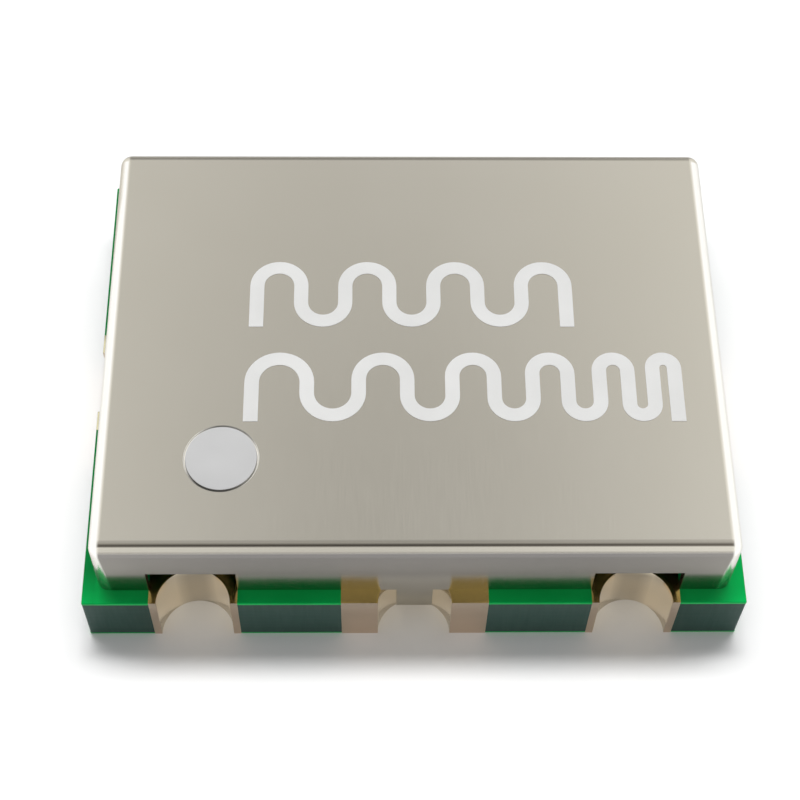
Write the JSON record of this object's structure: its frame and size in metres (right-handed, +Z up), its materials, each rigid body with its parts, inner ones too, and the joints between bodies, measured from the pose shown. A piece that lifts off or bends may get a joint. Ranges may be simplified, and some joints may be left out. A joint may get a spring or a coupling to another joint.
{
  "type": "shielded voltage-controlled oscillator module",
  "caption": "Flat metal-canned oscillator module on a small green circuit board, with plated half holes along its edges for surface soldering.",
  "frame": {"origin": "middle of the board's underside", "axes": "+X along the long side, +Y along the short side towards the back row, +Z up through the can's top"},
  "size_m": [0.009, 0.007, 0.0022],
  "materials": {
    "shield": "satin nickel plating",
    "mark": "light grey printed ink",
    "laminate": "dark slate green glass-epoxy laminate",
    "solder_mask": "glossy green lacquer",
    "copper": "rolled copper foil",
    "plating": "pale gold plating",
    "package": "black moulding compound",
    "lead": "tinned leads",
    "inductor": "pale blue ceramic with tinned ends",
    "capacitor": "tan ceramic with tinned ends",
    "resistor": "black glaze on ceramic with tinned ends",
    "solder": "bright solder"
  },
  "bodies": {
    "root": {"shield_can": "shield", "pin_one_dot": "mark", "board_core": "laminate", "solder_mask_top": "solder_mask", "solder_mask_bottom": "solder_mask", "ground_plane": "copper", "ground_vias": "copper", "tuning_pin": "plating", "ground_pin_front": "plating", "supply_pin": "plating", "ground_pin_right": "plating", "output_pin": "plating", "ground_pin_back": "plating", "spare_pin": "plating", "ground_pin_left": "plating", "resonator_strip": "plating", "circuit_traces": "plating", "oscillator_transistor": "package", "oscillator_leads": "lead", "buffer_transistor": "package", "buffer_leads": "lead", "varactor_a": "package", "varactor_a_leads": "lead", "varactor_b": "package", "varactor_b_leads": "lead", "tuning_choke": "inductor", "supply_choke": "inductor", "collector_choke": "inductor", "matching_inductor": "inductor", "tuning_capacitor": "capacitor", "varactor_capacitor": "capacitor", "base_capacitor": "capacitor", "interstage_capacitor": "capacitor", "bypass_capacitor": "capacitor", "output_capacitor": "capacitor", "damping_resistor": "resistor", "emitter_resistor": "resistor", "buffer_resistor": "resistor", "solder_joints": "solder"}
  },
  "joints": []
}
